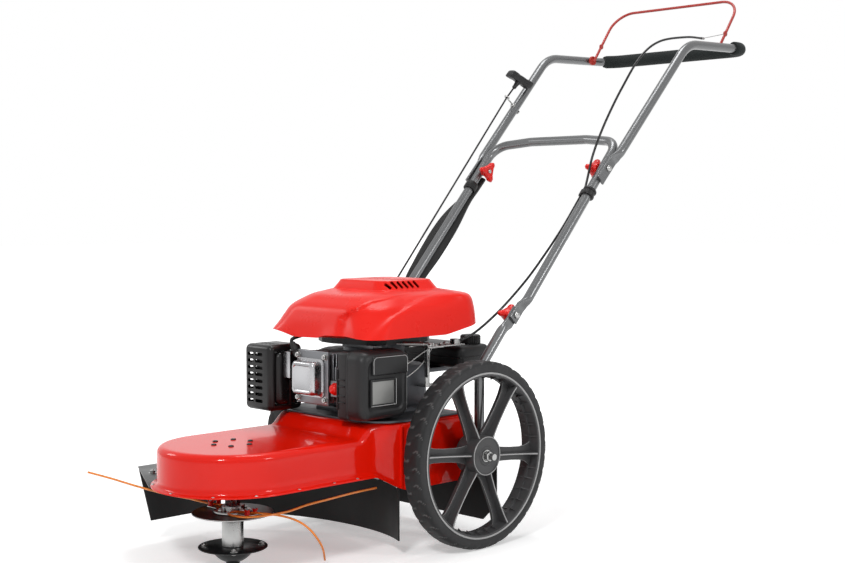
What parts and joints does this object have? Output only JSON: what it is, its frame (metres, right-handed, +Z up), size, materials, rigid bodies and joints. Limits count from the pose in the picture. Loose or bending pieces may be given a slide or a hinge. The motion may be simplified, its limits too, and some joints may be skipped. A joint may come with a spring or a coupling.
{
  "type": "walk-behind string trimmer mower",
  "caption": "Walk-behind string trimmer mower with large wheels, a small vertical-shaft engine over a steel deck, a spinning line head in front and a folding tube handle.",
  "frame": {"origin": "centre of the bounding box on the ground", "axes": "+Z up, -Y the way the machine drives, +X its left side"},
  "size_m": [0.5484, 1.4912, 1.1331],
  "materials": {
    "red_paint": "gloss powder coat",
    "red_cover": "satin moulded plastic",
    "red_plastic": "satin moulded plastic",
    "black_steel": "satin black coat",
    "black_plastic": "fine-textured moulded plastic",
    "rim_grey": "moulded plastic",
    "tyre_black": "matt tyre rubber",
    "rubber": "matt sheet rubber",
    "foam": "matt foam rubber",
    "bright_steel": "zinc plated",
    "cast_aluminium": "as cast",
    "tube_grey": "satin metallic coat",
    "line_orange": "smooth nylon",
    "bail_red": "plastic-dipped rod",
    "rope_black": "braided rope",
    "cable_black": "smooth vinyl jacket"
  },
  "bodies": {
    "machine": {"deck": "red_paint", "side_guard": "black_steel", "debris_flap": "rubber", "rear_flap": "rubber", "axle": "bright_steel", "spindle_housing": "cast_aluminium", "v_belt": "rubber", "crankcase": "cast_aluminium", "cylinder": "cast_aluminium", "valve_cover": "cast_aluminium", "muffler": "black_steel", "muffler_guard": "black_steel", "spark_plug_boot": "rubber", "air_filter_base": "black_plastic", "air_filter_cover": "black_plastic", "carburettor": "cast_aluminium", "blower_housing": "black_plastic", "recoil_housing": "black_steel", "engine_cover": "red_cover", "fuel_tank": "black_plastic", "control_bracket": "bright_steel", "governor_spring": "bright_steel", "left_bracket": "tube_grey", "right_bracket": "tube_grey", "starter_rope_lower": "rope_black", "brake_cable_lower": "cable_black"},
    "left_wheel": {"left_rim": "rim_grey", "left_tyre": "tyre_black"},
    "right_wheel": {"right_rim": "rim_grey", "right_tyre": "tyre_black"},
    "crank": {"crankshaft": "bright_steel", "drive_pulley": "black_steel", "flywheel": "cast_aluminium"},
    "trimmer_head": {"spindle_shaft": "bright_steel", "driven_pulley": "black_steel", "line_disc": "black_steel", "line_holder": "bright_steel", "spacer_tube": "bright_steel", "skid_disc": "black_steel", "skid_cup": "black_steel", "trimmer_line_a": "line_orange", "trimmer_line_b": "line_orange"},
    "middle_handle": {"middle_handle": "tube_grey", "line_sleeve": "black_plastic", "cable_clamp": "black_plastic"},
    "upper_handle": {"upper_handle": "tube_grey", "foam_grip": "foam", "rope_guide": "bright_steel", "starter_rope_upper": "rope_black", "brake_cable_upper": "cable_black"},
    "bail": {"bail": "bail_red"},
    "brake_lever": {"brake_lever": "bright_steel"},
    "starter_grip": {"starter_grip": "black_plastic"},
    "recoil_reel": {"recoil_reel": "black_plastic"},
    "primer_bulb": {"primer_bulb": "red_plastic"},
    "fuel_cap": {"fuel_cap": "black_plastic"},
    "left_lower_knob": {"left_lower_knob": "red_plastic"},
    "right_lower_knob": {"right_lower_knob": "red_plastic"},
    "left_upper_knob": {"left_upper_knob": "red_plastic"},
    "right_upper_knob": {"right_upper_knob": "red_plastic"}
  },
  "joints": [
    {"name": "left_wheel_roll", "type": "hinge", "parent": "machine", "child": "left_wheel", "pos_m": [0.23656, -0.17689, 0.178], "axis": [1, 0, 0], "continuous": true},
    {"name": "right_wheel_roll", "type": "hinge", "parent": "machine", "child": "right_wheel", "pos_m": [-0.16344, -0.17689, 0.178], "axis": [1, 0, 0], "continuous": true},
    {"name": "crank_spin", "type": "hinge", "parent": "machine", "child": "crank", "pos_m": [0.03656, -0.25889, 0.25], "axis": [0, 0, 1], "continuous": true},
    {"name": "head_spin", "type": "hinge", "parent": "machine", "child": "trimmer_head", "pos_m": [0.03656, -0.60189, 0.15], "axis": [0, 0, 1], "continuous": true, "deforming": ["trimmer_line_a", "trimmer_line_b"]},
    {"name": "lower_fold", "type": "hinge", "parent": "machine", "child": "middle_handle", "pos_m": [0.03656, -0.03389, 0.433], "axis": [1, 0, 0], "range_deg": [0, 100], "deforming": ["starter_rope_lower", "brake_cable_lower"]},
    {"name": "upper_fold", "type": "hinge", "parent": "middle_handle", "child": "upper_handle", "pos_m": [0.03656, 0.23011, 0.72725], "axis": [1, 0, 0], "range_deg": [0, 90], "deforming": ["starter_rope_upper", "brake_cable_upper"]},
    {"name": "bail_press", "type": "hinge", "parent": "upper_handle", "child": "bail", "pos_m": [0.03656, 0.64811, 1.00955], "axis": [-1, 0, 0], "range_deg": [0, 36], "stiffness_Nm_per_rad": 0.6, "springref_deg": -28.65},
    {"name": "brake_lever_turn", "type": "hinge", "parent": "machine", "child": "brake_lever", "pos_m": [0.14856, -0.18889, 0.379], "axis": [0, 0, 1], "range_deg": [0, 20]},
    {"name": "starter_pull", "type": "slide", "parent": "upper_handle", "child": "starter_grip", "axis": [0.2515, 0.664, 0.7042], "range_m": [0, 0.5], "stiffness_N_per_m": 15, "springref_m": -0.1},
    {"name": "reel_turn", "type": "hinge", "parent": "machine", "child": "recoil_reel", "pos_m": [0.03656, -0.25889, 0.43], "axis": [0, 0, 1], "range_deg": [-610, 0]},
    {"name": "primer_press", "type": "slide", "parent": "machine", "child": "primer_bulb", "axis": [0, 1, 0], "range_m": [0, 0.004], "stiffness_N_per_m": 400},
    {"name": "fuel_cap_turn", "type": "hinge", "parent": "machine", "child": "fuel_cap", "pos_m": [0.11856, -0.07289, 0.3743], "axis": [0, 0, 1], "continuous": true},
    {"name": "left_lower_knob_turn", "type": "hinge", "parent": "machine", "child": "left_lower_knob", "pos_m": [0.19656, -0.03389, 0.433], "axis": [1, 0, 0], "continuous": true},
    {"name": "right_lower_knob_turn", "type": "hinge", "parent": "machine", "child": "right_lower_knob", "pos_m": [-0.12344, -0.03389, 0.433], "axis": [1, 0, 0], "continuous": true},
    {"name": "left_upper_knob_turn", "type": "hinge", "parent": "middle_handle", "child": "left_upper_knob", "pos_m": [0.20206, 0.23011, 0.72725], "axis": [1, 0, 0], "continuous": true},
    {"name": "right_upper_knob_turn", "type": "hinge", "parent": "middle_handle", "child": "right_upper_knob", "pos_m": [-0.12894, 0.23011, 0.72725], "axis": [1, 0, 0], "continuous": true}
  ],
  "couplings": [
    {"joint": "head_spin", "follows": "crank_spin", "ratio": 0.8214},
    {"joint": "brake_lever_turn", "follows": "bail_press", "ratio": 0.55},
    {"joint": "reel_turn", "follows": "starter_pull", "rad_per_m": -21.05}
  ]
}
